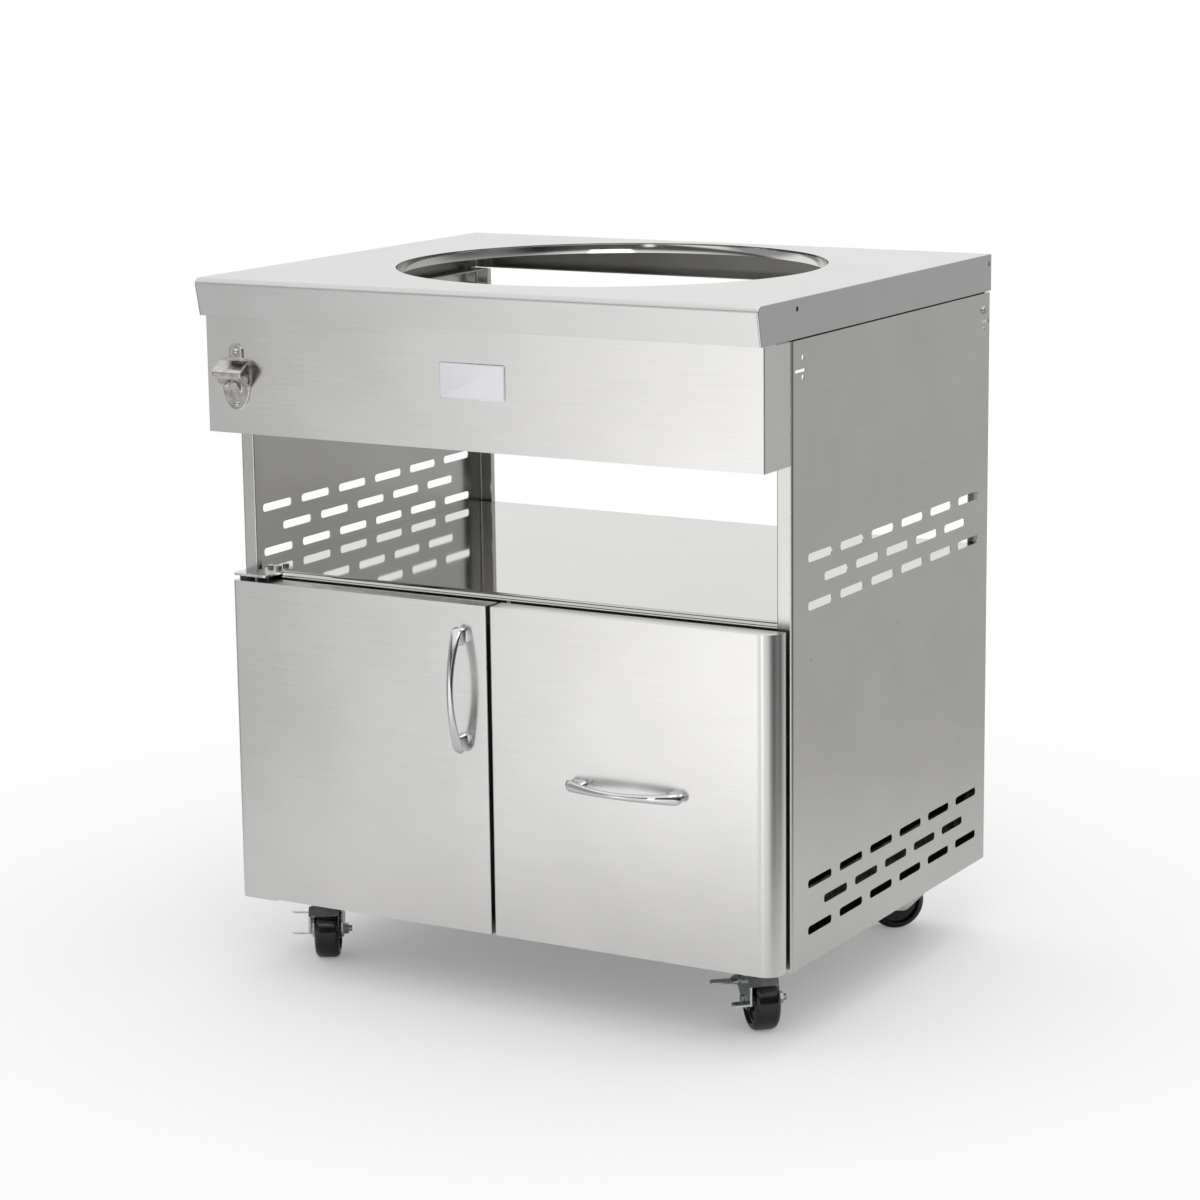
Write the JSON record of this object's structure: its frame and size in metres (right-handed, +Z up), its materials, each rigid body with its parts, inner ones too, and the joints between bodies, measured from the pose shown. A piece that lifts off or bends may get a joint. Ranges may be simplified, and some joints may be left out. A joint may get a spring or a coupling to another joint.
{
  "type": "kamado grill table",
  "caption": "Wheeled stainless-steel outdoor table with a round cut-out for a kamado grill, an open bay with a shelf, a hinged cupboard door and a pull-out drawer.",
  "frame": {"origin": "on the floor, under the middle of the table top", "axes": "+X to the right as seen from the front, +Y from the front (door and drawer) to the back, +Z up"},
  "size_m": [0.7856, 0.6646, 0.9],
  "materials": {
    "brushed_stainless": "fine linear brushed stainless steel, semi-gloss",
    "satin_top": "pale satin brushed stainless steel",
    "polished_ring": "bright polished stainless strip",
    "bright_chrome": "bright chrome plate",
    "inner_steel": "plain mill-finish stainless sheet",
    "zinc_steel": "zinc-plated pressed steel, slightly blue",
    "black_coated_steel": "black powder-coated steel, satin",
    "fastener_steel": "plain bright fastener steel",
    "badge_metal": "bare satin metal plate",
    "wheel_black": "black moulded rubber, smooth",
    "black_plastic": "moulded black plastic"
  },
  "bodies": {
    "frame": {"table_top": "satin_top", "opening_trim_ring": "polished_ring", "top_rail_right": "inner_steel", "top_rail_left": "inner_steel", "top_rail_front": "inner_steel", "top_rail_rear": "inner_steel", "top_bolts": "fastener_steel", "right_side_panel": "brushed_stainless", "left_side_panel": "brushed_stainless", "accessory_screws": "fastener_steel", "kamado_shelf": "brushed_stainless", "shelf_rivets": "fastener_steel", "cabinet_back_panel": "inner_steel", "cabinet_floor": "inner_steel", "centre_divider": "inner_steel", "front_valance": "brushed_stainless", "badge_plate": "badge_metal", "bottle_opener": "bright_chrome", "opener_screws": "fastener_steel", "hinge_plate_top": "brushed_stainless", "hinge_plate_bottom": "brushed_stainless", "hinge_pins": "fastener_steel", "hinge_bolts": "fastener_steel", "magnet_catch": "black_plastic", "slide_bracket": "black_coated_steel", "slide_outer_left": "zinc_steel", "slide_outer_right": "zinc_steel", "caster_plates": "zinc_steel", "caster_kingpins": "fastener_steel", "caster_plate_bolts": "fastener_steel"},
    "door": {"door_skin": "brushed_stainless", "door_liner": "inner_steel", "door_bushes": "black_plastic", "door_handle": "bright_chrome", "door_handle_screws": "fastener_steel", "door_strike_plate": "zinc_steel"},
    "drawer": {"drawer_skin": "brushed_stainless", "drawer_liner": "inner_steel", "drawer_tray": "inner_steel", "drawer_gussets": "inner_steel", "drawer_handle": "bright_chrome", "drawer_handle_screws": "fastener_steel", "slide_inner_left": "zinc_steel", "slide_inner_right": "zinc_steel"},
    "slide_middles": {"slide_middle_left": "zinc_steel", "slide_middle_right": "zinc_steel"},
    "caster_front_left": {"fork_front_left": "zinc_steel", "axle_front_left": "fastener_steel"},
    "wheel_front_left": {"wheel_front_left": "wheel_black"},
    "brake_front_left": {"brake_front_left": "zinc_steel"},
    "caster_front_right": {"fork_front_right": "zinc_steel", "axle_front_right": "fastener_steel"},
    "wheel_front_right": {"wheel_front_right": "wheel_black"},
    "brake_front_right": {"brake_front_right": "zinc_steel"},
    "caster_rear_left": {"fork_rear_left": "zinc_steel", "axle_rear_left": "fastener_steel"},
    "wheel_rear_left": {"wheel_rear_left": "wheel_black"},
    "caster_rear_right": {"fork_rear_right": "zinc_steel", "axle_rear_right": "fastener_steel"},
    "wheel_rear_right": {"wheel_rear_right": "wheel_black"}
  },
  "joints": [
    {"name": "door_hinge", "type": "hinge", "parent": "frame", "child": "door", "pos_m": [-0.371, -0.264, 0.305], "axis": [0, 0, -1], "range_deg": [0, 110]},
    {"name": "drawer_slide", "type": "slide", "parent": "frame", "child": "drawer", "axis": [0, -1, 0], "range_m": [0, 0.45]},
    {"name": "slide_middle_travel", "type": "slide", "parent": "frame", "child": "slide_middles", "axis": [0, -1, 0], "range_m": [0, 0.225]},
    {"name": "swivel_front_left", "type": "hinge", "parent": "frame", "child": "caster_front_left", "pos_m": [-0.328, -0.1655, 0.0885], "axis": [0, 0, 1], "continuous": true},
    {"name": "wheel_spin_front_left", "type": "hinge", "parent": "caster_front_left", "child": "wheel_front_left", "pos_m": [-0.3155, -0.18715, 0.0375], "axis": [0.866, 0.5, 0], "continuous": true},
    {"name": "brake_front_left", "type": "hinge", "parent": "caster_front_left", "child": "brake_front_left", "pos_m": [-0.34202, -0.18052, 0.058], "axis": [-0.866, -0.5, 0], "range_deg": [0, 12]},
    {"name": "swivel_front_right", "type": "hinge", "parent": "frame", "child": "caster_front_right", "pos_m": [0.301, -0.1655, 0.0885], "axis": [0, 0, 1], "continuous": true},
    {"name": "wheel_spin_front_right", "type": "hinge", "parent": "caster_front_right", "child": "wheel_front_right", "pos_m": [0.31805, -0.18378, 0.0375], "axis": [0.7314, 0.682, 0], "continuous": true},
    {"name": "brake_front_right", "type": "hinge", "parent": "caster_front_right", "child": "brake_front_right", "pos_m": [0.29072, -0.18329, 0.058], "axis": [-0.7314, -0.682, 0], "range_deg": [0, 12]},
    {"name": "swivel_rear_left", "type": "hinge", "parent": "frame", "child": "caster_rear_left", "pos_m": [-0.328, 0.294, 0.0885], "axis": [0, 0, 1], "continuous": true},
    {"name": "wheel_spin_rear_left", "type": "hinge", "parent": "caster_rear_left", "child": "wheel_rear_left", "pos_m": [-0.32027, 0.27022, 0.0375], "axis": [0.9511, 0.309, 0], "continuous": true},
    {"name": "swivel_rear_right", "type": "hinge", "parent": "frame", "child": "caster_rear_right", "pos_m": [0.301, 0.294, 0.0885], "axis": [0, 0, 1], "continuous": true},
    {"name": "wheel_spin_rear_right", "type": "hinge", "parent": "caster_rear_right", "child": "wheel_rear_right", "pos_m": [0.28242, 0.27727, 0.0375], "axis": [0.6691, -0.7431, 0], "continuous": true}
  ],
  "couplings": [
    {"joint": "slide_middle_travel", "follows": "drawer_slide", "ratio": 0.5}
  ]
}
